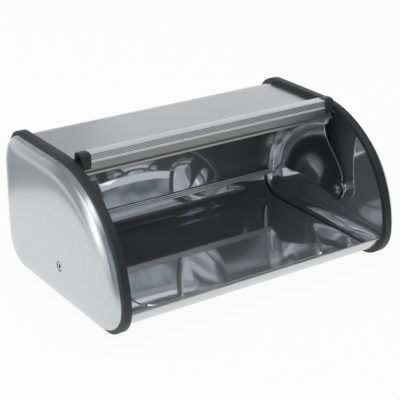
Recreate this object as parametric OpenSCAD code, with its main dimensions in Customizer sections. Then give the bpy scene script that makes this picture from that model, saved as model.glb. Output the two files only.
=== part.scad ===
// Bread box with a roll top.
// A sheet-steel body is wrapped between two black edge rims, and a domed pressed
// cap closes each end. A curved lid swings on two tubular rivets, one in each cap,
// and rolls back under the top sheet.
// Frame: X across the width, +Y to the back, +Z up, origin under the middle of the
// box on the surface that it stands on. The lid is drawn fully open.

/* [Body] */
// Width over the two rims, without the domed caps
rim_span = 396; // [390:1:402]
// Radius of the big front curve of the rims
front_r = 145; // [142:0.5:148]
// Height of the front curve's centre above the table
front_z = 39.5; // [39:0.5:41]
// Distance from the front curve's centre to the flat back
back_depth = 129; // [126:1:134]
// Thickness of the steel sheet
sheet_t = 0.7; // [0.6:0.1:0.8]
// Height of the upturned lip's edge at the front
lip_z = 32; // [30:0.5:33]

/* [Rims and caps] */
// Width of a rim along the box
rim_w = 10; // [9.5:0.5:11]
// How far a rim stands proud of the body sheet
rim_proud = 6.5; // [6:0.5:7]
// How far the middle of a cap stands out from the rim
dome_h = 18; // [17.5:0.5:18.5]
// Width of the curved border of a cap
dome_border = 76; // [72:1:78]

/* [Lid] */
// Pivot's distance in front of the front curve's centre
pivot_dy = -26.5; // [-28:0.5:-25]
// Height of the pivot
pivot_z = 57; // [56:0.5:58]
// Outer radius of the lid about its pivot
lid_r = 111.5; // [110:0.5:112]
// Angle of the lid's rear edge, up from straight back
lid_rear_a = -3; // [-4:0.5:-1]
// Angle of the lid's front edge, up from straight back
lid_front_a = 95; // [94:0.5:96]
// Length of the lid sheet across the box
lid_len = 366; // [364:1:368]

/* [Handle] */
// Depth of the handle bar's box, front to back
bar_depth = 14; // [13:0.5:14.5]
// Height of the handle bar's box
bar_h = 11.5; // [11:0.5:12]
// Number of grip grooves along the bar's front
groove_count = 4; // [3:1:4]

/* [Hidden] */
$fn = 96;
eps = 0.01;
fit_gap = 0.05;
face_gap = 0.3;

steel = [0.72, 0.74, 0.74];
polished_steel = [0.55, 0.57, 0.59];
black_plastic = [0.13, 0.14, 0.15];
pale_nylon = [0.85, 0.84, 0.80];
aluminium = [0.80, 0.81, 0.81];

// Outline of the ends, before the box is centred: the front curve's centre is at y = 0
box_h = front_z + front_r;
top_back_r = 36;
bottom_back_r = 42;
bottom_front_r = 42;
front_corner_y = -sqrt(pow(front_r - bottom_front_r, 2) - pow(bottom_front_r - front_z, 2));
// Shift that puts the origin midway between the front and the back
centre_y = (bottom_front_r - front_corner_y - back_depth) / 2;

// Places along the box: the rim's faces, the end of the sheet and the cap's seat
half_span = rim_span / 2;
rim_in_x = half_span - rim_w;
sheet_end_x = half_span - 4.4;
seat_x = half_span - 4;
// How far the cap's skirt lies inside the rim's outer edge
cap_inset = 5.2;
// Rounded edge of a cap: how far it reaches in, and how far it stands out
dome_edge = [22, 15.5];

// Edges of the opening
hem_r = 1.2;
top_front_y = -27 + centre_y;
emboss = [282, 172];
emboss_r = 22;
emboss_h = 1.2;

// Pivot stack, from the cap inward
pivot_y = pivot_dy + centre_y;
seat_r = 7;
spacer_r = 4.8;
seat_out_x = half_span + dome_h - 1.8;
arm_t = 1;
arm_tip_x = half_span + 6.5;
arm_tip_r = 15;
arm_slope_r = [26, 96];
arm_flange_w = 8;
rivet_r = 3.4;
rivet_bore = [2.3, 8];
rivet_head = [5, 1.1];
washer = [7, 0.8];
trim_wall = 0.8;
under_sheet_r = lid_r - sheet_t;
lid_half = lid_len / 2;

// Rivets along each end of the lid: angles, place along the box, shank and head
arm_rivet_a = [for (i = [0 : 4]) 8 + 19.25 * i];
end_fix_x = lid_half - 4.5;
arm_rivet_r = 1.6;
arm_rivet_head = [3, 0.8];

// Handle bar, placed by its box when the lid is open
bar_front_y = -33.5 + centre_y;
bar_bottom_z = 179;
bar_wall = 1.4;
bar_half = 176;
bar_lip_r = 1.5;
web_half = 182.6;
web = [1.6, 9.5];
web_overlap = 1.2;
web_setback = -1.4;
foot_a = lid_front_a - 2.2;
foot = [9, 1.2];
foot_lip = 1.6;
groove = [1, 0.8];
groove_rise = 0.7;
groove_end = 1.1;

// End clips of the handle bar: walls, rounded top, leg and hollow outer end
clip_x = [173, 185.2];
clip_wall = 1.3;
clip_front_wall = 1.1;
clip_round_r = 5.6;
clip_leg = [1.2, 6];
clip_hollow_depth = 5;
clip_hollow_wall = [3, 2.2, 3.4];

// Screws of the foot: radius and length of the shank and of the head
foot_screw = [1.5, 3.4];
foot_screw_head = [2.8, 1.4];
// Room between a flat head and the curved sheet under it
head_gap = 0.06;

// ---- shared shapes ----

// Lays a flat outline drawn as (y, z) in the plane across the box, from x0 to x1
module across(x0, x1) {
    translate([x0, 0, 0])
        rotate([90, 0, 90])
            linear_extrude(x1 - x0) children();
}

// End outline of the box, moved in everywhere by d
module outline(d) {
    top_r = max(top_back_r - d, 1);
    back_r = max(bottom_back_r - d, 1);
    front_corner_r = max(bottom_front_r - d, 1);
    back = back_depth - d;
    top = box_h - d;
    to_corner = front_r - d - front_corner_r;
    corner_z = d + front_corner_r;
    corner_y = -sqrt(pow(to_corner, 2) - pow(corner_z - front_z, 2));
    join = (front_r - d) / to_corner * [corner_y, corner_z - front_z];
    translate([centre_y, 0]) intersection() {
        translate([-box_h, d]) square([2 * box_h, box_h]);
        union() {
            intersection() {
                translate([0, front_z]) circle(front_r - d, $fn = 2.5 * $fn);
                translate([0, front_z])
                    polygon([[0, -12], [0, 2 * box_h], [-2 * box_h, 2 * box_h],
                             3 * join, 0.9 * join]);
            }
            translate([corner_y, corner_z]) circle(front_corner_r);
            translate([back - back_r, d + back_r]) circle(back_r);
            translate([back - top_r, top - top_r]) circle(top_r);
            polygon([[0, top], [back - top_r, top], [back, top - top_r], [back, d + back_r],
                     [back - back_r, d], [corner_y, d],
                     join + [0, front_z], [0, max(front_z, d)]]);
        }
    }
}

// Band that follows the end outline between two depths
module band(d0, d1) {
    difference() {
        outline(d0);
        outline(d1);
    }
}

// Turns a (radius, x) profile about the pivot axis, from angle a0 to a1
module about_pivot(a0, a1) {
    translate([0, pivot_y, pivot_z])
        rotate([a0, 0, 0])
            rotate([90, 0, 90])
                rotate_extrude(angle = a1 - a0, $fn = 240) children();
}

// Cylinder on the pivot axis, from x0 to x1
module pivot_disc(r, x0, x1) {
    translate([x0, pivot_y, pivot_z]) rotate([0, 90, 0]) cylinder(r = r, h = x1 - x0);
}

// Puts a shape that points away from the pivot at radius r and angle a
module on_lid(r, a, x) {
    translate([x, pivot_y + r * cos(a), pivot_z + r * sin(a)])
        rotate([a - 90, 0, 0]) children();
}

module rounded_plate(size, r, t) {
    linear_extrude(t) {
        square([size[0] - 2 * r, size[1]], center = true);
        square([size[0], size[1] - 2 * r], center = true);
        for (sx = [-1, 1], sy = [-1, 1])
            translate([sx * (size[0] / 2 - r), sy * (size[1] / 2 - r)]) circle(r);
    }
}

// ---- housing ----

// Floor, back and top in one bent sheet, with a rounded front lip and a pressed floor panel
module body_shell() {
    inside = emboss - [2, 2] * sheet_t;
    mid_corner_r = bottom_front_r - rim_proud - sheet_t / 2;
    lip_drop = bottom_front_r - lip_z;
    lip_y = centre_y + front_corner_y - sqrt(pow(mid_corner_r, 2) - pow(lip_drop, 2));
    mid_top_r = front_r - rim_proud - sheet_t / 2;
    top_hem_z = front_z + sqrt(pow(mid_top_r, 2) - pow(top_front_y - centre_y, 2));
    color(steel) {
        difference() {
            union() {
                across(-sheet_end_x, sheet_end_x) difference() {
                    band(rim_proud, rim_proud + sheet_t);
                    translate([-box_h, lip_z]) square([box_h + top_front_y, box_h]);
                }
                translate([0, 0, rim_proud]) rounded_plate(emboss, emboss_r, emboss_h + sheet_t);
            }
            translate([0, 0, rim_proud - eps])
                rounded_plate(inside, emboss_r - sheet_t, emboss_h + eps);
        }
        across(-rim_in_x, rim_in_x) translate([lip_y + 0.5, lip_z]) circle(hem_r, $fn = 32);
        across(-rim_in_x, rim_in_x)
            translate([top_front_y, top_hem_z - 0.5]) circle(hem_r, $fn = 32);
    }
}

// How far the cap stands out at t in from its edge: a tight rounded edge, then a slow crown
function dome_out(t) =
    dome_edge[1] * sqrt(1 - pow(1 - min(t, dome_edge[0]) / dome_edge[0], 2))
    + (dome_h - dome_edge[1]) * (1 - pow(1 - t / dome_border, 2));

// Outline of the cap at t in from its edge, rounder the further in it is
module dome_level(t, d) {
    rounding = min(t, box_h / 2 - cap_inset - d - 3 - t);
    offset(r = rounding, $fn = 32) outline(cap_inset + fit_gap + d + t + rounding, $fn = 24);
}

// Domed block with the cap's outer shape, moved in everywhere by d
module dome(d) {
    border_steps = [0.3, 1, 2.2, 4, 6.5, 10, 15, 22, 34, 52, dome_border];
    hull() {
        across(-half_span, -half_span + 1) dome_level(0, d);
        for (t = border_steps)
            across(-half_span - dome_out(t) + d, -half_span) dome_level(t, d);
    }
}

// Pressed end cap: a thin domed sheet with an inward skirt that sits in the rim's groove,
// and a flat round seat for the pivot rivet
module left_end_cap() {
    seat_in_x = seat_out_x - sheet_t;
    seat_rim_x = seat_out_x + 1.05;
    color(steel) difference() {
        union() {
            difference() {
                dome(0);
                dome(sheet_t);
            }
            difference() {
                across(-half_span, -seat_x) outline(cap_inset);
                across(-half_span - eps, -seat_x + eps) outline(cap_inset + sheet_t);
            }
            pivot_disc(seat_r + sheet_t, -seat_rim_x, -seat_in_x);
        }
        across(-half_span, -half_span + 2) outline(cap_inset + sheet_t);
        pivot_disc(seat_r, -half_span - dome_h - 1, -seat_out_x);
        pivot_disc(rivet_r + fit_gap, -half_span - dome_h - 1, -half_span);
    }
}

// Moulded edge rim: a proud rectangular bead, stepped inside for the edge of the body
// sheet, with a groove in its outer face for the skirt of the cap
module left_rim() {
    color(black_plastic) difference() {
        union() {
            across(-half_span, -rim_in_x) band(0, rim_proud);
            across(-half_span, -sheet_end_x) band(1, rim_proud + sheet_t);
        }
        across(-half_span - eps, -seat_x) band(cap_inset, cap_inset + sheet_t);
    }
}

// ---- pivots ----

// Tubular rivet: a rolled head in the cap's seat, a shank and a round head inside
module left_pivot_rivet() {
    inner_x = arm_tip_x - face_gap - washer[1];
    color(polished_steel) difference() {
        union() {
            pivot_disc(rivet_head[0], -seat_out_x - rivet_head[1], -seat_out_x);
            pivot_disc(rivet_r, -seat_out_x, -inner_x);
            pivot_disc(rivet_head[0], -inner_x, -inner_x + rivet_head[1]);
        }
        pivot_disc(rivet_bore[0], -seat_out_x - 2 * rivet_head[1],
                   -seat_out_x + rivet_bore[1]);
    }
}

// Nylon spacer that holds the arm clear of the cap
module left_pivot_spacer() {
    color(pale_nylon) difference() {
        pivot_disc(spacer_r, -seat_out_x + sheet_t, -arm_tip_x - arm_t - face_gap);
        pivot_disc(rivet_r + fit_gap, -seat_out_x, -arm_tip_x);
    }
}

module left_pivot_washer() {
    color(polished_steel) difference() {
        pivot_disc(washer[0], -arm_tip_x + face_gap, -arm_tip_x + face_gap + washer[1]);
        pivot_disc(rivet_r + fit_gap, -arm_tip_x, -rim_in_x);
    }
}

// ---- lid ----

// Points at both ends of the lid where rivets or foot screws go through
module lid_fixings(r, angles, bottom, top) {
    for (side = [-1, 1], a = angles)
        on_lid(lid_r + bottom, a, side * end_fix_x) cylinder(r = r, h = top - bottom, $fn = 32);
}

module lid_sheet() {
    color(steel) difference() {
        about_pivot(lid_rear_a, lid_front_a)
            translate([under_sheet_r, -lid_half]) square([sheet_t, lid_len]);
        lid_fixings(arm_rivet_r, arm_rivet_a, -3, 3);
        lid_fixings(foot_screw[0], [foot_a], -3, 3);
    }
}

// Folded channel that stiffens and covers the lid's rear edge
module lid_rear_trim() {
    color(polished_steel) difference() {
        about_pivot(lid_rear_a - 0.5, lid_rear_a + 3.8)
            translate([under_sheet_r - trim_wall, -lid_half])
                square([sheet_t + 2 * trim_wall, lid_len]);
        about_pivot(lid_rear_a, lid_rear_a + 5)
            translate([under_sheet_r, -lid_len]) square([sheet_t, 2 * lid_len]);
    }
}

// Half of the arm's spread at a given distance from the pivot
function arm_half_a(r) = 38 + 52 * exp(-(r - arm_tip_r) / 18) + 10 * pow(r / lid_r, 8);

// Bell-shaped arm, dished out to the pivot, with a flange under the lid sheet
module left_lid_arm() {
    mid_a = (lid_rear_a + lid_front_a) / 2;
    side_r = [for (r = [arm_tip_r : 5 : lid_r + 3]) r];
    one_side = [for (r = side_r) r * [cos(mid_a + arm_half_a(r)), sin(mid_a + arm_half_a(r))]];
    other_side = [for (i = [len(side_r) - 1 : -1 : 0])
        side_r[i] * [cos(mid_a - arm_half_a(side_r[i])), sin(mid_a - arm_half_a(side_r[i]))]];
    outer_side = [for (a = [45 : -5 : -45]) (lid_r + 3) * [cos(mid_a + a), sin(mid_a + a)]];
    color(polished_steel) difference() {
        union() {
            // flat round tip on the pivot
            across(-arm_tip_x - arm_t, -arm_tip_x) translate([pivot_y, pivot_z]) {
                circle(arm_tip_r);
                intersection() {
                    circle(arm_slope_r[0]);
                    polygon(concat(one_side, outer_side, other_side));
                }
            }
            intersection() {
                about_pivot(mid_a - 85, mid_a + 85)
                    polygon([[arm_slope_r[0] - 2, -arm_tip_x], [arm_slope_r[0], -arm_tip_x],
                             [arm_slope_r[1], -lid_half + arm_t],
                             [under_sheet_r, -lid_half + arm_t], [under_sheet_r, -lid_half],
                             [arm_slope_r[1], -lid_half],
                             [arm_slope_r[0], -arm_tip_x - arm_t],
                             [arm_slope_r[0] - 2, -arm_tip_x - arm_t]]);
                across(-2 * half_span, 0) translate([pivot_y, pivot_z])
                    polygon(concat(one_side, outer_side, other_side));
            }
            about_pivot(lid_rear_a + 4.2, lid_front_a - 0.3)
                translate([under_sheet_r - arm_t, -lid_half])
                    square([arm_t, arm_t + arm_flange_w]);
        }
        pivot_disc(rivet_r + fit_gap, -half_span - dome_h, -half_span);
        lid_fixings(arm_rivet_r, arm_rivet_a, -5, 0);
        lid_fixings(foot_screw[0], [foot_a], -5, 0);
        // notch round the rear trim
        about_pivot(lid_rear_a - 4, lid_rear_a + 4.1)
            translate([under_sheet_r - trim_wall - 0.1, -lid_half - arm_t])
                square([5, 3 * arm_t]);
    }
}

// Rivets that join the left arm's flange to the lid sheet
module left_arm_rivets() {
    grip = sheet_t + arm_t;
    color(polished_steel) for (a = arm_rivet_a)
        on_lid(lid_r - grip, a, -end_fix_x) {
            translate([0, 0, -head_gap - arm_rivet_head[1]])
                cylinder(r = arm_rivet_head[0], h = arm_rivet_head[1], $fn = 32);
            translate([0, 0, -head_gap])
                cylinder(r = arm_rivet_r, h = grip + head_gap, $fn = 32);
            translate([0, 0, grip])
                cylinder(r = arm_rivet_head[0], h = arm_rivet_head[1], $fn = 32);
        }
}

// ---- handle ----

// Extruded grip: hollow box with a grooved front and a rounded lower lip,
// on a web whose foot caps the lid's front edge
module handle_bar() {
    pitch = (bar_h - 2 * bar_lip_r - groove_end) / groove_count;
    color(aluminium) difference() {
        union() {
            across(-bar_half, bar_half) {
                translate([bar_front_y, bar_bottom_z]) square([bar_depth, bar_h]);
                translate([bar_front_y, bar_bottom_z + bar_lip_r]) circle(bar_lip_r, $fn = 32);
            }
            across(-web_half, web_half) {
                translate([bar_front_y + web_setback, bar_bottom_z - web[1]])
                    square([web[0], web[1] + web_overlap]);
                translate([pivot_y + lid_r * cos(foot_a), pivot_z + lid_r * sin(foot_a)])
                    rotate(foot_a - 90) {
                        translate([-foot[0] / 2, 0]) square(foot);
                        translate([-foot[0] / 2 - foot[1], -foot_lip])
                            square([foot[1], foot[1] + foot_lip]);
                    }
            }
        }
        across(-bar_half - eps, bar_half + eps)
            translate([bar_front_y + 2 * bar_wall, bar_bottom_z + bar_wall])
                square([bar_depth - 3 * bar_wall, bar_h - 2 * bar_wall]);
        for (i = [0 : groove_count - 1])
            across(-bar_half - eps, bar_half + eps)
                translate([bar_front_y - eps,
                           bar_bottom_z + 2 * bar_lip_r + groove_rise + i * pitch])
                    square(groove);
        lid_fixings(foot_screw[0], [foot_a], -1, foot[1] + 1);
    }
}

// Plastic end clip of the handle bar, with a short leg in front of the bar's web
module left_handle_clip() {
    far_y = bar_front_y + bar_depth + clip_wall;
    near_y = bar_front_y - bar_lip_r - clip_front_wall;
    low_z = bar_bottom_z - clip_wall;
    high_z = bar_bottom_z + bar_h + clip_wall;
    color(black_plastic) difference() {
        union() {
            across(-clip_x[1], -clip_x[0]) hull() {
                translate([near_y, low_z]) square([far_y - near_y, clip_round_r]);
                for (y = [near_y + clip_round_r, far_y - clip_round_r])
                    translate([y, high_z - clip_round_r]) circle(clip_round_r);
            }
            across(-clip_x[1] + clip_leg[0], -clip_x[0] - clip_leg[0] / 2)
                translate([near_y, low_z - clip_leg[1] + clip_wall])
                    square([bar_front_y + web_setback - near_y, clip_leg[1]]);
        }
        across(-bar_half, -clip_x[0] + eps) {
            translate([bar_front_y, bar_bottom_z]) square([bar_depth, bar_h]);
            translate([bar_front_y, bar_bottom_z + bar_lip_r]) circle(bar_lip_r, $fn = 32);
        }
        // hollow outer end
        across(-clip_x[1] - eps, -clip_x[1] + clip_hollow_depth)
            translate([near_y + clip_hollow_wall[0], low_z + clip_hollow_wall[1]])
                square([far_y - near_y - 2 * clip_hollow_wall[0],
                        high_z - low_z - clip_hollow_wall[1] - clip_hollow_wall[2]]);
        // slot for the web
        across(-web_half, -clip_x[0] + eps)
            translate([bar_front_y + web_setback, low_z - eps])
                square([web[0], clip_wall + web_overlap]);
    }
}

// Screws that hold the bar's foot, driven from inside the lid
module handle_foot_screws() {
    grip = sheet_t + arm_t + head_gap;
    color(polished_steel) for (side = [-1, 1])
        on_lid(lid_r - grip - foot_screw_head[1], foot_a, side * end_fix_x) {
            cylinder(r = foot_screw_head[0], h = foot_screw_head[1], $fn = 32);
            cylinder(r = foot_screw[0], h = foot_screw_head[1] + foot_screw[1], $fn = 32);
        }
}

body_shell();
left_end_cap();
mirror([1, 0, 0]) left_end_cap();  // right_end_cap
left_rim();
mirror([1, 0, 0]) left_rim();  // right_rim
left_pivot_rivet();
mirror([1, 0, 0]) left_pivot_rivet();  // right_pivot_rivet
left_pivot_spacer();
mirror([1, 0, 0]) left_pivot_spacer();  // right_pivot_spacer
left_pivot_washer();
mirror([1, 0, 0]) left_pivot_washer();  // right_pivot_washer
lid_sheet();
lid_rear_trim();
left_lid_arm();
mirror([1, 0, 0]) left_lid_arm();  // right_lid_arm
left_arm_rivets();
mirror([1, 0, 0]) left_arm_rivets();  // right_arm_rivets
handle_bar();
left_handle_clip();
mirror([1, 0, 0]) left_handle_clip();  // right_handle_clip
handle_foot_screws();
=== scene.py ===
import math

import bpy
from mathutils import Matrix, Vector


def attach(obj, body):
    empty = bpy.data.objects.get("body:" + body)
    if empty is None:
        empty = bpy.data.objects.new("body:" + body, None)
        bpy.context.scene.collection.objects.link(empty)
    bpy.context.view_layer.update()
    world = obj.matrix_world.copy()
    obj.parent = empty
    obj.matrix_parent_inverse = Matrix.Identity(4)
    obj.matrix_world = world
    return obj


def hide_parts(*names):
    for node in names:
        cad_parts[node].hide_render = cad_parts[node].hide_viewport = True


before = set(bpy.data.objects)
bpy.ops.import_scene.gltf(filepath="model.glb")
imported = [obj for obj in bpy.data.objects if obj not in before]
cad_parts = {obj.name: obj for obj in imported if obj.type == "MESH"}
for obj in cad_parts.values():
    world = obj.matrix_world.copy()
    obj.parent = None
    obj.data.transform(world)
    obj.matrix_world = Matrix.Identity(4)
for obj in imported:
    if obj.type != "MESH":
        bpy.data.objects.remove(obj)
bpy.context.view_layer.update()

scene = bpy.context.scene
scene.view_settings.view_transform = "Standard"

# ---- camera ----
# A short telephoto view from the front left, a little above the box.
eye = Vector((-0.7983, -1.1730, 0.6845))
aim = Vector((-0.0118, -0.0110, 0.0901))
camera = bpy.data.objects.new("camera", bpy.data.cameras.new("camera"))
camera.data.sensor_width = 36
camera.data.lens = 109.67
camera.location = eye
camera.rotation_euler = (aim - eye).to_track_quat("-Z", "Y").to_euler()
scene.collection.objects.link(camera)
scene.camera = camera


# ---- table and studio ----
# A wide pale table under a white surround, with two soft lamps. Grey cloths hang round the
# box and lie on the table, and only the reflections in the steel show them.
class Wire:
    """An output socket of a finish, for writing shader sums as plain expressions."""

    def __init__(self, finish, socket):
        self.finish, self.socket = finish, socket

    def math(self, operation, *others):
        return self.finish.node("ShaderNodeMath", {"operation": operation},
                                dict(enumerate((self, *others))))

    def __add__(self, other): return self.math("ADD", other)
    def __radd__(self, other): return self.math("ADD", other)
    def __sub__(self, other): return self.math("SUBTRACT", other)
    def __rsub__(self, other): return self.finish.number(other).math("SUBTRACT", self)
    def __mul__(self, other): return self.math("MULTIPLY", other)


class Finish:
    """One material's nodes, added one at a time by node()."""

    def __init__(self, name, owner=None):
        self.owner = owner or bpy.data.materials.new(name)
        self.owner.use_nodes = True
        self.tree = self.owner.node_tree
        self.shader = self.tree.nodes.get("Principled BSDF")

    def node(self, kind, settings=None, inputs=None, out=0):
        made = self.tree.nodes.new(kind)
        for key, value in (settings or {}).items():
            if key == "stops":
                while len(made.color_ramp.elements) > 1:
                    made.color_ramp.elements.remove(made.color_ramp.elements[-1])
                for i, (place, shade) in enumerate(value):
                    stop = (made.color_ramp.elements[0] if i == 0
                            else made.color_ramp.elements.new(place))
                    stop.position = place
                    stop.color = (shade, shade, shade, 1)
            else:
                setattr(made, key, value)
        for key, value in (inputs or {}).items():
            self.plug(made.inputs[key], value)
        return Wire(self, made.outputs[out])

    def plug(self, socket, value):
        if isinstance(value, Wire):
            self.tree.links.new(value.socket, socket)
        else:
            socket.default_value = value

    def number(self, value):
        return self.node("ShaderNodeMath", {"operation": "ADD"}, {0: value, 1: 0})

    def set(self, **sockets):
        for key, value in sockets.items():
            self.plug(self.shader.inputs[key.replace("_", " ")], value)

    def place(self, scale=(1, 1, 1)):
        """Places on the piece in metres, stretched by scale."""
        spot = self.node("ShaderNodeTexCoord", out="Object")
        return self.node("ShaderNodeMapping", inputs={"Vector": spot, "Scale": scale})

    def where(self):
        """X, Y and Z of a point on the piece, in metres."""
        spot = self.node("ShaderNodeTexCoord", out="Object")
        apart = self.node("ShaderNodeSeparateXYZ", inputs={0: spot})
        return [Wire(self, apart.socket.node.outputs[axis]) for axis in "XYZ"]

    def seen(self):
        """Two wires: 1 where the camera sees the finish, and 1 where a reflection shows it."""
        path = self.node("ShaderNodeLightPath").socket.node
        camera_ray, glossy, through = (Wire(self, path.outputs[f"Is {kind} Ray"])
                                       for kind in ("Camera", "Glossy", "Transmission"))
        return camera_ray.math("MAXIMUM", through), glossy

    def noise(self, stretch, scale, detail=2.0, rough=0.5):
        return self.node("ShaderNodeTexNoise", {"normalize": True},
                         {"Vector": self.place(stretch), "Scale": scale,
                          "Detail": detail, "Roughness": rough})

    def ramp(self, value, *stops):
        return self.node("ShaderNodeValToRGB", {"stops": stops}, {"Fac": value})

    def mix(self, share, first, second):
        return self.node("ShaderNodeMix", {"data_type": "RGBA"},
                         {"Factor": share, "A": first, "B": second}, "Result")

    def bump(self, height, strength, distance, under=None):
        wires = {"Height": height, "Strength": strength, "Distance": distance}
        if under:
            wires["Normal"] = under
        return self.node("ShaderNodeBump", inputs=wires)


# The table stays white to the camera and in polished steel, and keeps the box's soft shadow.
bpy.ops.object.select_all(action="DESELECT")
bpy.ops.mesh.primitive_plane_add(size=12, location=(0, 0, 0))
table = bpy.context.object
table.name = "table"
table_top = Finish("table_top")
directly, reflected = table_top.seen()
table_top.set(Base_Color=(0.8, 0.8, 0.8, 1), Roughness=0.9, Specular_IOR_Level=0.1)
white = table_top.node("ShaderNodeEmission", inputs={"Color": (1, 1, 1, 1), "Strength": 1.0})
bright = directly * 0.93 + reflected * 0.95
cover = table_top.node("ShaderNodeMixShader",
                       inputs={0: bright, 1: Wire(table_top, table_top.shader.outputs[0]),
                               2: white})
table_top.plug(table_top.tree.nodes["Material Output"].inputs["Surface"], cover)
table.data.materials.append(table_top.owner)

scene.world = bpy.data.worlds.new("surround")
surround = Finish("surround", scene.world)
directly, reflected = surround.seen()
strength = 0.55 + directly * 0.45 + reflected * 0.3
surround.plug(surround.tree.nodes["Background"].inputs["Strength"], strength)
surround.tree.nodes["Background"].inputs["Color"].default_value = (1, 1, 1, 1)


def soft_lamp(name, place, toward, size, power):
    lamp = bpy.data.objects.new(name, bpy.data.lights.new(name, "AREA"))
    lamp.data.shape = "RECTANGLE"
    lamp.data.size, lamp.data.size_y = size
    lamp.data.energy = power
    lamp.location = place
    way = Vector(toward) - Vector(place)
    lamp.rotation_euler = way.to_track_quat("-Z", "Y").to_euler()
    scene.collection.objects.link(lamp)


soft_lamp("overhead_lamp", (-0.3, 0.3, 2.0), (0, 0, 0.1), (2.6, 1.8), 14)
soft_lamp("left_lamp", (-2.0, -0.2, 1.2), (0, 0, 0.1), (1.3, 1.6), 6)


def cloth(name, place, toward, size, dark, pale):
    """A flat cloth with painted fold shade and light, dark to pale, that only the reflections
    show.
    """
    bpy.ops.object.select_all(action="DESELECT")
    bpy.ops.mesh.primitive_plane_add(size=1, location=place)
    sheet = bpy.context.object
    sheet.name = name
    sheet.scale = (*size, 1)
    way = Vector(toward) - Vector(place)
    sheet.rotation_euler = way.to_track_quat("Z", "Y").to_euler()
    woven = Finish(name)
    fold_shade = woven.ramp(woven.noise((3.0, 1.0, 1), 1.6, 3, 0.5), (0.40, 0), (0.62, 1))
    woven.set(Base_Color=woven.mix(fold_shade, dark, pale), Roughness=0.9)
    sheet.data.materials.append(woven.owner)
    for ray in ("camera", "diffuse", "transmission", "volume_scatter", "shadow"):
        setattr(sheet, "visible_" + ray, False)


grey_cloth = (0.16, 0.178, 0.198, 1), (0.62, 0.67, 0.73, 1)
pale_cloth = (0.40, 0.42, 0.45, 1), (0.56, 0.58, 0.61, 1)
white_cloth = (0.72, 0.74, 0.77, 1), (0.82, 0.84, 0.86, 1)
cloth("front_cloth", (1.05, -2.2, 1.5), (1.05, 0, 1.5), (5.9, 3.0), *grey_cloth)
cloth("right_cloth", (3.6, -0.4, 1.5), (0, -0.4, 1.5), (3.6, 3.0), *grey_cloth)
cloth("low_cloth", (1.05, -1.27, 0.004), (1.05, -1.27, 1.0), (5.9, 1.86), *grey_cloth)
cloth("high_cloth", (0.3, 1.3, 1.7), (0.3, 1.3, 0), (3.5, 3.0), *pale_cloth)
cloth("rear_cloth", (0.25, 2.1, 1.0), (0.25, 0, 1.0), (1.5, 1.1), *white_cloth)
cloth("side_cloth", (-1.0, 1.1, 0.004), (-1.0, 1.1, 1.0), (1.5, 1.5), *pale_cloth)
cloth("left_cloth", (-1.8, 1.0, 1.1), (0, 0, 0.2), (2.2, 1.4), *pale_cloth)


# ---- rims ----
# A black plastic moulding around each end of the box. It stands proud of the sheet, whose
# edge lies in a step along its inside.
rim_black = Finish("rim_black")
grain = rim_black.noise((1, 1, 1), 2600, 3)
haze = rim_black.noise((1, 1, 1), 22, 4)
rub = rim_black.ramp(rim_black.noise((1, 1, 1), 60, 5, 0.65), (0.55, 0), (0.8, 1))
rim_black.set(
    Base_Color=rim_black.mix(haze * 0.5 + rub * 0.2, (0.020, 0.022, 0.024, 1),
                             (0.036, 0.039, 0.042, 1)),
    Roughness=0.36 + haze * 0.14 + rub * 0.08,
    Specular_IOR_Level=0.5,
    Normal=rim_black.bump(grain, 0.12, 0.0004))

half_span = 0.198
centre_y = 0.007985
front_z = 0.0395
front_r = 0.145
corner_r = 0.042
top_back_r = 0.036
corner_ahead = 0.10297
back_behind = 0.129
box_h = front_z + front_r
corner_y = centre_y - corner_ahead
back_y = centre_y + back_behind
join_angle = math.atan2(centre_y - corner_y, corner_r - front_z)


def everything():
    """Selects all of the piece that is in edit mode."""
    bpy.ops.mesh.select_all(action="SELECT")


def weld():
    """Selects all of the piece and merges its points that lie together."""
    everything()
    bpy.ops.mesh.remove_doubles(threshold=1e-5)


def only(piece):
    """Makes a piece the active one, and the only one that is selected."""
    bpy.ops.object.select_all(action="DESELECT")
    piece.select_set(True)
    bpy.context.view_layer.objects.active = piece


def point(name, place):
    """A new piece that is one point, left open in edit mode to be drawn out."""
    bpy.ops.object.select_all(action="DESELECT")
    bpy.ops.mesh.primitive_plane_add(size=0.001, location=(0, 0, 0))
    piece = bpy.context.object
    piece.name = piece.data.name = name
    bpy.ops.object.mode_set(mode="EDIT")
    bpy.ops.mesh.select_mode(type="VERT")
    bpy.ops.mesh.merge(type="CENTER")
    bpy.ops.transform.translate(value=place)
    return piece


def pull(*move):
    """Draws what is selected out along move."""
    bpy.ops.mesh.extrude_region_move(TRANSFORM_OT_translate={"value": move})


def turn(y, z, angle, steps):
    """Draws what is selected round an axis along X at (y, z); plus turns the top forward."""
    bpy.ops.mesh.spin(steps=steps, angle=-angle, center=(0, y, z), axis=(1, 0, 0))


def run(y, z, step=0.002):
    """A straight run with a short step at each end, which keeps its middle flat."""
    end = step / math.hypot(y, z)
    for share in (end, 1 - 2 * end, end):
        pull(0, y * share, z * share)


def outline(moves, round_off, segments):
    """Draws a closed outline in X and Z, rounds its corners and leaves its edge selected."""
    for x, z in moves:
        pull(x, 0, z)
    weld()
    bpy.ops.mesh.edge_face_add()
    bpy.ops.mesh.bevel(offset=round_off, segments=segments, affect="VERTICES")
    everything()
    bpy.ops.mesh.delete(type="ONLY_FACE")
    everything()


def close(smooth=35):
    """Merges the seam, points the faces outward and leaves edit mode."""
    weld()
    bpy.ops.mesh.normals_make_consistent(inside=False)
    bpy.ops.object.mode_set(mode="OBJECT")
    bpy.ops.object.shade_smooth_by_angle(angle=math.radians(smooth))


def mirrored(piece, name):
    """The same piece for the other end of the box."""
    other = piece.copy()
    other.data = piece.data.copy()
    other.name = other.data.name = name
    scene.collection.objects.link(other)
    only(other)
    bpy.ops.object.mode_set(mode="EDIT")
    everything()
    bpy.ops.transform.resize(value=(-1, 1, 1), center_override=(0, 0, 0))
    bpy.ops.mesh.flip_normals()
    bpy.ops.object.mode_set(mode="OBJECT")
    return other


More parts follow.
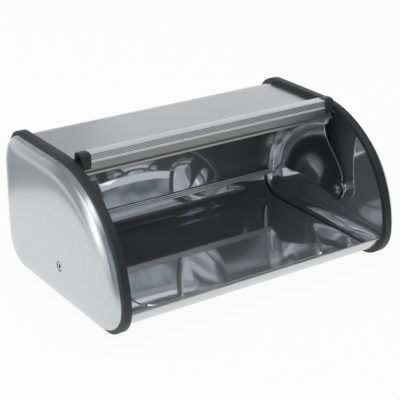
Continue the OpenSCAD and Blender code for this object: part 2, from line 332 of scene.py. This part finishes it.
def place(piece, body, node, finish, slot):
    """Gives a finished piece its finish and its body, and hides the node that it stands for.
    """
    piece.data.materials.clear()
    piece.data.materials.append(finish.owner)
    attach(piece, body)
    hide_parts(node)


rim_w = 0.010
rim_proud = 0.0065
rim_edge = 0.0003
step_x = 0.0044
sheet_t = 0.0007
left_rim = point("left_edge_rim", (-half_span, centre_y, box_h))
outline([(rim_w, 0), (0, -rim_proud), (step_x - rim_w, 0), (0, -sheet_t),
         (-step_x, 0), (0, rim_proud + sheet_t)], round_off=rim_edge, segments=3)
turn(centre_y, front_z, join_angle, 56)
turn(corner_y, corner_r, math.pi - join_angle, 28)
run(back_y - corner_r - corner_y, 0)
turn(back_y - corner_r, corner_r, math.pi / 2, 28)
run(0, box_h - top_back_r - corner_r)
turn(back_y - top_back_r, box_h - top_back_r, math.pi / 2, 24)
run(centre_y - (back_y - top_back_r), 0)
close()
right_rim = mirrored(left_rim, "right_edge_rim")
place(left_rim, "housing", "left_rim", rim_black, "black_rim_plastic")
place(right_rim, "housing", "right_rim", rim_black, "black_rim_plastic")


# ---- body sheet ----
# One long sheet of steel, bent into the top, the back, the floor and a low front lip. The
# lip's edge is rolled outward, and a shallow panel is pressed into the floor. It is satin
# outside and polished inside.
def steel(name, inward, satin=(0.585, 0.605, 0.61, 1), bright=(0.77, 0.79, 0.82, 1)):
    """Sheet steel: satin with a fine grain along the box, and polished where inward is 1."""
    made = Finish(name)
    hidden = inward(made)
    fine = made.noise((1.5, 220, 220), 8, 2, 0.5)
    streaks = made.noise((0.6, 24, 24), 6, 4, 0.6)
    clouds = made.noise((1, 1, 1), 9, 3)
    waves = made.noise((1, 1, 1), 14, 1)
    paler = (*(shade * 1.1 for shade in satin[:3]), 1)
    made.set(
        Base_Color=made.mix(hidden, made.mix(streaks, satin, paler), bright),
        Metallic=1 - hidden * 0.14,
        Roughness=(1 - hidden) * (0.22 + fine * 0.04 + clouds * 0.04)
        + hidden * (0.04 + clouds * 0.04),
        Normal=made.bump(fine, 0.008, 0.0001, made.bump(waves, 0.10, 0.0012)))
    return made


def inside_of(y, z):
    """A mask that is 1 on faces that look toward the line along X at (y, z)."""
    def inward(made):
        spot = made.node("ShaderNodeTexCoord", out="Object")
        way = made.node("ShaderNodeTexCoord", out="Normal")
        across = made.node("ShaderNodeVectorMath", {"operation": "SUBTRACT"},
                           {0: spot, 1: (0, y, z)})
        flat = made.node("ShaderNodeVectorMath", {"operation": "MULTIPLY"},
                         {0: across, 1: (0, 1, 1)})
        toward = made.node("ShaderNodeVectorMath", {"operation": "DOT_PRODUCT"},
                           {0: flat, 1: way}, "Value")
        return toward.math("LESS_THAN", 0.0)
    return inward


def thicken(piece, thickness, offset=0.0):
    """Turns a surface into a sheet of that thickness."""
    wall = piece.modifiers.new("wall", "SOLIDIFY")
    wall.thickness, wall.offset = thickness, offset
    wall.use_even_offset = True
    bpy.ops.object.modifier_apply(modifier=wall.name)


def combine(piece, tool, operation):
    """Joins a tool's solid to the piece or cuts it away, and removes the tool."""
    only(piece)
    cut = piece.modifiers.new("cut", "BOOLEAN")
    cut.object, cut.operation, cut.solver = tool, operation, "EXACT"
    bpy.ops.object.modifier_apply(modifier=cut.name)
    bpy.data.objects.remove(tool)


def pressed_plate(name, size, round_off, low, high, slope):
    """A rounded plate for shaping the floor, a little smaller at its top."""
    plate = point(name, (-size[0] / 2, -size[1] / 2, low))
    pull(size[0], 0, 0)
    everything()
    pull(0, size[1], 0)
    everything()
    bpy.ops.mesh.bevel(offset=round_off, segments=12, affect="VERTICES")
    everything()
    pull(0, 0, high - low)
    shrink = [1 - 2 * slope / side for side in size]
    bpy.ops.transform.resize(value=(*shrink, 1), center_override=(0, 0, high))
    close()
    return plate


fit_gap = 0.0001
mid = rim_proud + sheet_t / 2
body_half = half_span - step_x - fit_gap
body = point("body_sheet", (-body_half, 0, 0))
pull(2 * body_half, 0, 0)
everything()
top_r = front_r - mid
top_reach = 0.027
top_angle = math.asin(top_reach / top_r)
bpy.ops.transform.translate(value=(0, centre_y - top_reach,
                                   front_z + top_r * math.cos(top_angle)))
turn(centre_y, front_z, -top_angle, 8)
run(back_y - top_back_r - centre_y, 0)
turn(back_y - top_back_r, box_h - top_back_r, -math.pi / 2, 24)
run(0, corner_r - (box_h - top_back_r))
turn(back_y - corner_r, corner_r, -math.pi / 2, 28)
run(corner_y - (back_y - corner_r), 0)
bend_r = corner_r - mid
lip_drop = 0.010
lip_angle = math.acos(lip_drop / bend_r)
turn(corner_y, corner_r, -lip_angle, 26)
hem_r = 0.0008
hem_turn = 3.6
lip_y = corner_y - bend_r * math.sin(lip_angle)
lip_z = corner_r - bend_r * math.cos(lip_angle)
turn(lip_y - hem_r * math.sin(lip_angle), lip_z - hem_r * math.cos(lip_angle), hem_turn, 10)
close()
thicken(body, sheet_t)
panel_w, panel_d, panel_h, panel_round = 0.282, 0.172, 0.0012, 0.022
panel_root = 0.0003
cut_past = 0.001
combine(body, pressed_plate("raised", (panel_w, panel_d), panel_round, rim_proud + panel_root,
                            rim_proud + sheet_t + panel_h, panel_h), "UNION")
combine(body, pressed_plate("hollow", (panel_w - 2 * sheet_t, panel_d - 2 * sheet_t),
                            panel_round - sheet_t, rim_proud - cut_past,
                            rim_proud + panel_h, panel_h + cut_past), "DIFFERENCE")
bpy.ops.object.shade_smooth_by_angle(angle=math.radians(35))

body_middle_z = 0.09


def inside_body(made):
    """The polished side, short of the rolled edge along the top of the lip."""
    behind = made.where()[1].math("GREATER_THAN", lip_y)
    return inside_of(0, body_middle_z)(made) * behind


body_steel = steel("body_steel", inside_body)
place(body, "housing", "body_shell", body_steel, "brushed_steel")


# ---- end caps ----
# A pressed steel cap closes each end. It bulges out like a shallow pillow, its skirt is
# trapped in the rim's groove, and a small round seat is sunk round the pivot.
cap_inset = 0.0052
pivot_ahead = 0.0265
pivot_y = centre_y - pivot_ahead
pivot_z = 0.057
dome_h = 0.018
dome_border = 0.076
dome_edge = 0.022
dome_edge_h = 0.0155
rings = 21
ring_ease = 2.2


def dome_block(name, skin):
    """A solid block with the cap's domed outside, everywhere skin inside the real one."""
    inset = cap_inset + skin
    r = corner_r - inset
    reach = front_r - inset - r
    z = inset + r
    y = centre_y - math.sqrt(reach ** 2 - (z - front_z) ** 2)
    join = math.atan2(centre_y - y, z - front_z)
    block = point(name, (-half_span + fit_gap, centre_y, box_h - inset))
    turn(centre_y, front_z, join, 48)
    turn(y, z, math.pi - join, 20)
    for _ in range(14):
        pull(0, (back_y - corner_r - y) / 14, 0)
    turn(back_y - corner_r, z, math.pi / 2, 16)
    rise = box_h - top_back_r - z
    for _ in range(8):
        pull(0, 0, rise / 8)
    turn(back_y - top_back_r, box_h - top_back_r, math.pi / 2, 14)
    for _ in range(7):
        pull(0, -(back_y - top_back_r - centre_y) / 7, 0)
    weld()
    half_y = (back_y + front_r - centre_y) / 2 - inset
    half_z = box_h / 2 - inset
    middle = (0, 0, box_h / 2)
    out, t = 0.0, 0.0
    for step in range(1, rings + 1):
        further = dome_border * (step / rings) ** ring_ease
        level = (dome_edge_h * math.sqrt(1 - (1 - min(further / dome_edge, 1)) ** 2)
                 + (dome_h - dome_edge_h) * (1 - (1 - further / dome_border) ** 2))
        pull(out - level, 0, 0)
        bpy.ops.transform.resize(value=(1, (half_y - further) / (half_y - t),
                                        (half_z - further) / (half_z - t)),
                                 center_override=middle)
        out, t = level, further
    bpy.ops.mesh.edge_face_add()
    bpy.ops.mesh.poke()
    bpy.ops.object.mode_set(mode="OBJECT")
    for vertex in block.data.vertices:
        vertex.select = vertex.co.x < -half_span - dome_h * 0.5
    bpy.ops.object.mode_set(mode="EDIT")
    bpy.ops.mesh.vertices_smooth(factor=0.5, repeat=12)
    bpy.ops.object.mode_set(mode="OBJECT")
    for vertex in block.data.vertices:
        vertex.select = vertex.co.x > -half_span
    bpy.ops.object.mode_set(mode="EDIT")
    bpy.ops.mesh.select_mode(type="VERT")
    bpy.ops.mesh.edge_face_add()
    if skin:
        everything()
        bpy.ops.transform.translate(value=(skin, 0, 0))
    close()
    return block


def disc(name, r, x0, x1):
    """A round bar on the pivot's axis, for shaping the cap's seat."""
    bar = point(name, (x0, pivot_y, pivot_z + r))
    turn(pivot_y, pivot_z, 2 * math.pi, 40)
    weld()
    bpy.ops.mesh.edge_face_add()
    pull(x1 - x0, 0, 0)
    close()
    return bar


seat_r = 0.007
seat_x = -0.2142
seat_side = 0.00105
shank_r = 0.0034
outside_x, inside_x = -0.23, -0.19
left_cap = dome_block("left_cap", 0)
combine(left_cap, dome_block("inside", sheet_t), "DIFFERENCE")
combine(left_cap, disc("pan", seat_r + sheet_t, seat_x - seat_side, seat_x + sheet_t), "UNION")
combine(left_cap, disc("sink", seat_r, outside_x, seat_x), "DIFFERENCE")
combine(left_cap, disc("hole", shank_r + fit_gap, outside_x, inside_x), "DIFFERENCE")
bpy.ops.object.shade_smooth_by_angle(angle=math.radians(35))
right_cap = mirrored(left_cap, "right_cap")


def toward_middle(made):
    """A mask that is 1 on faces that look toward the middle of the box."""
    spot = made.node("ShaderNodeTexCoord", out="Object")
    way = made.node("ShaderNodeTexCoord", out="Normal")
    along = made.node("ShaderNodeVectorMath", {"operation": "MULTIPLY"}, {0: spot, 1: way})
    return made.node("ShaderNodeSeparateXYZ", inputs={0: along}).math("LESS_THAN", 0.0)


cap_steel = steel("cap_steel", toward_middle)
place(left_cap, "housing", "left_end_cap", cap_steel, "brushed_steel")
place(right_cap, "housing", "right_end_cap", cap_steel, "brushed_steel")


# ---- lid sheet ----
# The lid is one sheet of the same steel, rolled to a curve about the pivots.
lid_r = 0.1115
lid_half = 0.183
lid_back = math.radians(-3)
lid_front = math.radians(95)
lid = point("lid_curve", (-lid_half, 0, 0))
pull(2 * lid_half, 0, 0)
everything()
lid_mid = lid_r - sheet_t / 2
bpy.ops.transform.translate(value=(0, pivot_y + lid_mid * math.cos(lid_back),
                                   pivot_z + lid_mid * math.sin(lid_back)))
turn(pivot_y, pivot_z, lid_front - lid_back, 72)
close()
thicken(lid, sheet_t)
lid_steel = steel("lid_steel", inside_of(pivot_y, pivot_z))
place(lid, "lid", "lid_sheet", lid_steel, "brushed_steel")


# ---- lid rear trim ----
# A narrow strip folded over the rear edge of the lid, with fine ridges rolled along it.
# It is steel, painted pale as a highlight on the ridge tops and dark as shade in the hollows,
# and is clinched on.
polished = Finish("polished_steel")
soil = polished.noise((1, 1, 1), 40, 4, 0.6)
brush = polished.noise((2, 200, 200), 12, 2)
polished.set(
    Base_Color=polished.mix(soil, (0.60, 0.605, 0.61, 1), (0.72, 0.725, 0.73, 1)),
    Metallic=1.0,
    Roughness=0.07 + soil * 0.08 + brush * 0.03,
    Normal=polished.bump(brush, 0.04, 0.0002))


def section(name, x, y, z, moves):
    """A closed flat shape in Y and Z, left selected to be drawn out along the box."""
    piece = point(name, (x, y, z))
    for move in moves:
        pull(0, *move)
    weld()
    bpy.ops.mesh.edge_face_add()
    return piece


def soften(piece, width, segments=2, angle=40):
    """Rounds the sharp edges of a piece, so that they catch the light."""
    only(piece)
    edge = piece.modifiers.new("edge", "BEVEL")
    edge.width, edge.segments = width, segments
    edge.limit_method, edge.angle_limit = "ANGLE", math.radians(angle)
    bpy.ops.object.modifier_apply(modifier=edge.name)
    bpy.ops.object.shade_smooth_by_angle(angle=math.radians(35))


trim_wall = 0.0008
trim_from = math.radians(-3.45)
trim_to = math.radians(0.8)
ridges = 3
ridge_h = 0.0005
trim = point("rear_trim", (-lid_half, 0, 0))
pull(2 * lid_half, 0, 0)
everything()
trim_r = lid_r - sheet_t - trim_wall / 2
bpy.ops.transform.translate(value=(0, pivot_y + trim_r * math.cos(trim_to),
                                   pivot_z + trim_r * math.sin(trim_to)))
around = trim_to
ridge_turn = (trim_from - trim_to) / (2 * ridges)
for rise in (-ridge_h, ridge_h) * ridges:
    turn(pivot_y, pivot_z, ridge_turn, 3)
    around += ridge_turn
    pull(0, rise * math.cos(around), rise * math.sin(around))
half_fold = (trim_wall + sheet_t) / 2
for _ in range(2):
    pull(0, half_fold * math.cos(trim_from), half_fold * math.sin(trim_from))
turn(pivot_y, pivot_z, trim_to - trim_from, 16)
close()
trim_skin = trim_wall * 0.7
thicken(trim, trim_skin)


def from_pivot(made):
    """The square of the distance from the pivots' axis."""
    deep, high = made.where()[1:]
    deep, high = deep - pivot_y, high - pivot_z
    return deep * deep + high * high


trim_steel = Finish("trim_steel")
# Painted highlight and shade: the ridge tops are pale and partly diffuse, and the hollows
# between them are near black.
reach = from_pivot(trim_steel)
hollow_shade = (reach.math("GREATER_THAN", (trim_r - trim_skin / 2 - ridge_h / 2) ** 2)
             * reach.math("LESS_THAN", trim_r ** 2))
rolled = trim_steel.noise((2, 200, 200), 12, 2)
trim_steel.set(
    Base_Color=trim_steel.mix(hollow_shade, (0.90, 0.905, 0.91, 1), (0.06, 0.062, 0.065, 1)),
    Metallic=0.4 + hollow_shade * 0.6,
    Roughness=0.16 + rolled * 0.10,
    Normal=trim_steel.bump(rolled, 0.04, 0.0002))
place(trim, "lid", "lid_rear_trim", trim_steel, "polished_steel")


# ---- lid arms ----
# A bell-shaped plate at each end of the lid, dished out toward the pivot. Its outer edge
# is turned in under the lid as a flange, which the rivets go through.
arm_t = 0.001
arm_x = -0.205
tip_r = 0.015
slope_from, slope_to = 0.026, 0.096
arm_mid = (lid_back + lid_front) / 2


def arm_x_at(r):
    """How far out the arm's plate stands at a distance from the pivot."""
    share = min(max((r - slope_from) / (slope_to - slope_from), 0), 1)
    eased = 0.55 * share + 0.45 * share * share * (3 - 2 * share)
    return arm_x + (-lid_half + arm_t / 2 - arm_x) * eased


def arm_spread_at(r):
    """Half the angle that the bell takes up about the pivot: broad at its tip and its rim."""
    near_tip = 52 * math.exp(-max(r - tip_r, 0) / 0.018)
    near_rim = 10 * (r / lid_r) ** 8
    return math.radians(min(38 + near_tip + near_rim, 88))


def arm_row(r, x, spread):
    """One row of the arm's plate, an arc about the pivot."""
    row = point("row", (x, pivot_y + r * math.cos(arm_mid - spread),
                        pivot_z + r * math.sin(arm_mid - spread)))
    turn(pivot_y, pivot_z, 2 * spread, 36)
    bpy.ops.object.mode_set(mode="OBJECT")
    return row


flange_r = lid_r - sheet_t - arm_t / 2
radii = (0.010, 0.015, 0.019, 0.023, 0.026, 0.029, 0.033, 0.038, 0.044, 0.051, 0.059, 0.068,
         0.078, 0.088, 0.094, 0.098, 0.103, 0.107, flange_r - 0.0012)
rows = [arm_row(r, arm_x_at(r), arm_spread_at(r)) for r in radii]
edge_spread = (lid_front - lid_back) / 2 - math.radians(1.2)
for x, sink in ((0.0006, 0.0003), (0.0015, 0), (0.0043, 0), (0.0091, 0)):
    rows.append(arm_row(flange_r - sink, x - lid_half, edge_spread))
bpy.ops.object.select_all(action="DESELECT")
for row in rows:
    row.select_set(True)
left_arm = rows[0]
bpy.context.view_layer.objects.active = left_arm
bpy.ops.object.join()
left_arm.name = left_arm.data.name = "left_arm"
bpy.ops.object.mode_set(mode="EDIT")
everything()
bpy.ops.mesh.bridge_edge_loops()
close()
thicken(left_arm, arm_t)
combine(left_arm, disc("tip", tip_r, arm_x - arm_t / 2, arm_x + arm_t / 2), "UNION")
combine(left_arm, disc("hole", shank_r + fit_gap / 2, outside_x, inside_x), "DIFFERENCE")
soften(left_arm, width=0.00025)
right_arm = mirrored(left_arm, "right_arm")
place(left_arm, "lid", "left_lid_arm", polished, "polished_steel")
place(right_arm, "lid", "right_lid_arm", polished, "polished_steel")


# ---- arm rivets ----
# Five dome-headed rivets at each end, through the lid and the arm's flange.
rivet_inset = 0.0045
rivet_x = rivet_inset - lid_half
grip = sheet_t + arm_t
rivet_first = math.radians(8)
rivet_last = math.radians(85)
rivet_r = 0.0015
head_h = 0.0008
flat_gap = 0.00006


def stub(name, sides, z):
    """A flat round start for a fixing, straight above the pivot, left open in edit mode."""
    bpy.ops.object.select_all(action="DESELECT")
    bpy.ops.mesh.primitive_circle_add(vertices=sides, radius=rivet_r, fill_type="NGON",
                                      location=(rivet_x, pivot_y, z))
    piece = bpy.context.object
    piece.name = piece.data.name = name
    bpy.ops.object.transform_apply(location=True)
    bpy.ops.object.mode_set(mode="EDIT")
    everything()
    return piece


def swing(angle):
    """Turns a finished fixing from above the pivot to an angle, left open in edit mode."""
    bpy.ops.object.mode_set(mode="EDIT")
    everything()
    bpy.ops.transform.rotate(value=math.pi / 2 - angle, orient_axis="X",
                             center_override=(0, pivot_y, pivot_z))


left_rivets = stub("left_rivets", 20, pivot_z + lid_r - grip - head_h)
for rise, wider in ((0.0003, 1.6), (0.00044, 1.25), (0, 0.533), (grip + flat_gap, 1),
                    (0, 1.875), (0.0004, 0.82), (0.0003, 0.6)):
    pull(0, 0, rise)
    here = max(v.co.z for v in left_rivets.data.vertices)
    bpy.ops.transform.resize(value=(wider, wider, 1),
                             center_override=(rivet_x, pivot_y, here))
close(50)
swing(rivet_first)
bpy.ops.mesh.spin(steps=4, angle=rivet_first - rivet_last, dupli=True,
                  center=(0, pivot_y, pivot_z), axis=(1, 0, 0))
bpy.ops.object.mode_set(mode="OBJECT")
right_rivets = mirrored(left_rivets, "right_rivets")
place(left_rivets, "lid", "left_arm_rivets", polished, "polished_steel")
place(right_rivets, "lid", "right_arm_rivets", polished, "polished_steel")


# ---- pivot rivets ----
# A tubular steel rivet in each cap carries an arm, on a nylon spacer and a steel washer.
# Its outer end is rolled over in the cap's seat, and its inner end has a round head.
bore_r = 0.0023
pivot_head_r = 0.005
pivot_head_h = 0.0011
inner_x = 0.2034
bore_end_x = -0.2062
left_pivot = point("left_pivot", (bore_end_x, pivot_y, pivot_z + bore_r))
for x, r in ((seat_x - 0.0007, bore_r), (seat_x - pivot_head_h, bore_r + 0.0005),
             (seat_x - pivot_head_h, pivot_head_r - 0.0012),
             (seat_x - 0.0006, pivot_head_r - 0.0002), (seat_x, pivot_head_r),
             (seat_x, shank_r), (-inner_x, shank_r), (-inner_x, pivot_head_r),
             (0.0006 - inner_x, pivot_head_r - 0.0004),
             (0.0010 - inner_x, pivot_head_r - 0.0018), (pivot_head_h - inner_x, 0.0008),
             (pivot_head_h - inner_x, 0), (bore_end_x, 0), (bore_end_x, bore_r)):
    bpy.ops.object.mode_set(mode="OBJECT")
    at = left_pivot.data.vertices[-1].co.copy()
    bpy.ops.object.mode_set(mode="EDIT")
    pull(x - at.x, 0, pivot_z + r - at.z)
everything()
turn(pivot_y, pivot_z, 2 * math.pi, 40)
close(30)
right_pivot = mirrored(left_pivot, "right_pivot")
mask_margin = 0.0002
rivet_steel = Finish("rivet_steel")
side = rivet_steel.where()[0]
# Painted shade: the bore inside the rivet's tube is coloured near black.
bore_shade = ((side * side).math("GREATER_THAN", (inner_x + 0.0005) ** 2)
           * from_pivot(rivet_steel).math("LESS_THAN", (bore_r + mask_margin) ** 2))
turned = rivet_steel.noise((1, 1, 1), 900, 3)
rivet_steel.set(
    Base_Color=rivet_steel.mix(bore_shade, rivet_steel.mix(turned, (0.60, 0.605, 0.61, 1),
                                                        (0.76, 0.765, 0.77, 1)),
                               (0.02, 0.02, 0.02, 1)),
    Metallic=1 - bore_shade,
    Roughness=0.16 + turned * 0.10 + bore_shade * 0.5,
    Normal=rivet_steel.bump(turned, 0.03, 0.0002))
place(left_pivot, "housing", "left_pivot_rivet", rivet_steel, "polished_steel")
place(right_pivot, "housing", "right_pivot_rivet", rivet_steel, "polished_steel")


# ---- spacers and washers ----
# A pale nylon spacer holds each arm clear of its cap, and a steel washer lies under the
# rivet's inner head.
nylon = Finish("nylon")
mottle = nylon.noise((1, 1, 1), 120, 4)
nylon.set(Base_Color=nylon.mix(mottle, (0.60, 0.58, 0.52, 1), (0.72, 0.70, 0.64, 1)),
          Roughness=0.45 + mottle * 0.15,
          Normal=nylon.bump(mottle, 0.08, 0.0004))


def ring(name, outer, x0, x1):
    """A round ring on the rivet's shank, with its edges rounded off."""
    inner = shank_r + fit_gap / 2
    made = point(name, (x0, pivot_y, pivot_z + inner))
    for x, z in ((0, outer - inner), (x1 - x0, 0), (0, inner - outer), (x0 - x1, 0)):
        pull(x, 0, z)
    everything()
    turn(pivot_y, pivot_z, 2 * math.pi, 40)
    close()
    soften(made, width=0.0002)
    return made


for name, node, finish, slot, outer, x0, x1 in (
        ("spacer", "pivot_spacer", nylon, "pale_nylon", 0.0048, seat_x + sheet_t, -0.2058),
        ("washer", "pivot_washer", polished, "polished_steel", 0.007, -0.2042, -inner_x)):
    left = ring("left_" + name, outer, x0, x1)
    right = mirrored(left, "right_" + name)
    place(left, "housing", "left_" + node, finish, slot)
    place(right, "housing", "right_" + node, finish, slot)


# ---- handle bar ----
# An extruded aluminium grip along the lid's front edge. Four grooves run along its front
# above a rounded lip, and a web under it ends in a foot screwed to the lid.
bar_ahead = 0.0335
bar_front = centre_y - bar_ahead
bar_z = 0.179
bar_depth = 0.014
bar_h = 0.0115
bar_half = 0.176
top_round = 0.0012
lip_r = 0.0015
groove_w, groove_d = 0.0008, 0.0010
groove_step = 0.00185
groove_rise = 0.0007
groove_taper = 0.00008
grooves = 4
bar_metal = Finish("handle_aluminium")
drawn = bar_metal.noise((0.5, 400, 400), 4, 2, 0.5)
patina = bar_metal.noise((1, 1, 1), 30, 4)
deep, high = bar_metal.where()[1:]
# Painted shade: the four grooves along the front are coloured dark.
groove_shade = (deep.math("GREATER_THAN", bar_front + 0.0003)
             * deep.math("LESS_THAN", bar_front + groove_d + mask_margin)
             * high.math("LESS_THAN", bar_z + bar_h - top_round - 0.0001)
             * high.math("GREATER_THAN", bar_z + 2 * lip_r + mask_margin))
bare = bar_metal.mix(patina, (0.84, 0.85, 0.855, 1), (0.93, 0.935, 0.94, 1))
bar_metal.set(
    Base_Color=bar_metal.mix(groove_shade, bare, (0.10, 0.105, 0.11, 1)),
    Metallic=0.8,
    Roughness=0.30 + drawn * 0.06 + patina * 0.05,
    Normal=bar_metal.bump(drawn, 0.015, 0.0001))


def arc(r, start, end, steps):
    """The moves that draw a rounded corner, from one direction to another in degrees."""
    stops = [math.radians(start + (end - start) * i / steps) for i in range(steps + 1)]
    return [(r * (math.cos(b) - math.cos(a)), r * (math.sin(b) - math.sin(a)))
            for a, b in zip(stops, stops[1:])]


front_face = []
level = bar_h - top_round
for i in reversed(range(grooves)):
    groove_top = 2 * lip_r + groove_rise + i * groove_step + groove_w
    front_face += [(0, groove_top - level), (groove_d, -groove_taper),
                   (0, 2 * groove_taper - groove_w), (-groove_d, -groove_taper)]
    level = groove_top - groove_w
front_face.append((0, 2 * lip_r - level))
handle = section("handle", -bar_half, bar_front + bar_depth, bar_z,
                 [(0, bar_h), (top_round - bar_depth, 0)] + arc(top_round, 90, 180, 4)
                 + front_face + arc(lip_r, 90, 270, 8) + [(bar_depth, 0)])
pull(2 * bar_half, 0, 0)
close()
soften(handle, width=0.00012, segments=1, angle=60)

web_half = 0.1826
foot_a = math.radians(92.8)
foot_y = pivot_y + lid_r * math.cos(foot_a)
foot_z = pivot_z + lid_r * math.sin(foot_a)
web_ahead = 0.0014
web_y = bar_front - web_ahead
lean = (-math.cos(foot_a - math.pi / 2), -math.sin(foot_a - math.pi / 2))
rise = (math.cos(foot_a), math.sin(foot_a))
web_t = 0.0016
web_h = 0.0104
web_overlap = 0.0009
foot_t = 0.0012
foot_lip = 0.0016
foot_ahead = 0.0057
foot_depth = 0.009
web = section("web", -web_half, web_y, bar_z + web_overlap,
              [(0, -web_h), (web_t, 0), (0, web_h)])
pull(2 * web_half, 0, 0)
close()
foot = section("foot", -web_half, foot_y + lean[0] * foot_ahead - rise[0] * foot_lip,
               foot_z + lean[1] * foot_ahead - rise[1] * foot_lip,
               [(way[0] * size, way[1] * size) for way, size in (
                   (rise, foot_lip + foot_t), (lean, -foot_depth - foot_t),
                   (rise, -foot_t), (lean, foot_depth), (rise, -foot_lip))])
pull(2 * web_half, 0, 0)
close()
combine(web, foot, "UNION")
soften(web, width=0.0002)
web.name = web.data.name = "handle_web"
# Painted shade: the web under the grip is the grip's aluminium painted darker, with random
# tarnish on top.
web_shaded = Finish("web_shaded")
rolled = web_shaded.noise((0.5, 300, 300), 4, 2, 0.5)
tarnish = web_shaded.noise((1, 1, 1), 26, 4)
web_shaded.set(
    Base_Color=web_shaded.mix(tarnish, (0.36, 0.355, 0.335, 1), (0.46, 0.455, 0.43, 1)),
    Metallic=1.0,
    Roughness=0.26 + rolled * 0.06 + tarnish * 0.06,
    Normal=web_shaded.bump(rolled, 0.015, 0.0001))
place(handle, "lid", "handle_bar", bar_metal, "handle_aluminium")
place(web, "lid", "handle_bar", web_shaded, "handle_aluminium")


# ---- handle clips ----
# A black plastic clip closes each end of the grip. It is round at the top like a knuckle,
# and a short leg hooks down in front of the web.
clip_black = Finish("clip_black")
pores = clip_black.noise((1, 1, 1), 1800, 3)
smear = clip_black.noise((1, 1, 1), 90, 4)
clip_black.set(
    Base_Color=clip_black.mix(smear, (0.018, 0.020, 0.022, 1), (0.034, 0.037, 0.040, 1)),
    Roughness=0.30 + smear * 0.15,
    Normal=clip_black.bump(pores, 0.10, 0.0003))
clip_wall = 0.0013
front_wall = 0.0011
clip_out, clip_in = 0.1852, 0.173
near_y = bar_front - lip_r - front_wall
far_y = bar_front + bar_depth + clip_wall
clip_low = bar_z - clip_wall
clip_h = bar_h + 2 * clip_wall
knuckle_r = 0.0056
hollow_side, hollow_floor, hollow_roof, hollow_depth = 0.003, 0.0022, 0.0034, 0.005
leg_inset, leg_h = 0.0012, 0.006
left_clip = section("left_clip", -clip_out, near_y, clip_low,
                    [(0, clip_h - knuckle_r)] + arc(knuckle_r, 180, 90, 8)
                    + [(far_y - near_y - 2 * knuckle_r, 0)] + arc(knuckle_r, 90, 0, 8)
                    + [(0, knuckle_r - clip_h), (near_y - far_y, 0)])
pull(clip_out - clip_in, 0, 0)
close()
socket = section("socket", -bar_half, bar_front + bar_depth, bar_z,
                 [(0, bar_h), (-bar_depth, 0), (0, 2 * lip_r - bar_h)]
                 + arc(lip_r, 90, 270, 8) + [(bar_depth, 0)])
pull(bar_half - clip_in + cut_past, 0, 0)
close()
combine(left_clip, socket, "DIFFERENCE")
hollow_w = far_y - near_y - 2 * hollow_side
hollow_h = clip_h - hollow_floor - hollow_roof
hollow_end = section("hollow_end", -clip_out - cut_past, near_y + hollow_side,
                     clip_low + hollow_floor,
                     [(0, hollow_h), (hollow_w, 0), (0, -hollow_h), (-hollow_w, 0)])
pull(hollow_depth + cut_past, 0, 0)
close()
combine(left_clip, hollow_end, "DIFFERENCE")
leg = section("leg", -clip_out + leg_inset, near_y, clip_low + clip_wall - leg_h,
              [(0, leg_h), (web_y - near_y, 0), (0, -leg_h), (near_y - web_y, 0)])
pull(clip_out - clip_in - 1.5 * leg_inset, 0, 0)
close()
combine(left_clip, leg, "UNION")
soften(left_clip, width=0.0004)
right_clip = mirrored(left_clip, "right_clip")
place(left_clip, "lid", "left_handle_clip", clip_black, "black_clip_plastic")
place(right_clip, "lid", "right_handle_clip", clip_black, "black_clip_plastic")


# ---- foot screws ----
# A pan-head screw at each end of the lid, driven from inside through the arm's flange and
# the lid into the foot of the handle.
screw_z = pivot_z + lid_r - grip - flat_gap
screw_past = 0.0018
side_h = 0.0008
screw_h = 0.0013
recess_d = 0.0007
level = screw_z + grip + screw_past
screws = stub("foot_screws", 24, level)
for to, wider in ((screw_z, 1), (screw_z, 1.867), (screw_z - side_h, 1),
                  (screw_z - screw_h, 0.72), (screw_z - screw_h, 0.5),
                  (screw_z - screw_h + recess_d, 0.9)):
    pull(0, 0, to - level)
    bpy.ops.transform.resize(value=(wider, wider, 1),
                             center_override=(rivet_x, pivot_y, to))
    level = to
close(50)
swing(foot_a)
bpy.ops.mesh.duplicate()
bpy.ops.transform.translate(value=(-2 * rivet_x, 0, 0))
bpy.ops.object.mode_set(mode="OBJECT")
place(screws, "lid", "handle_foot_screws", polished, "polished_steel")
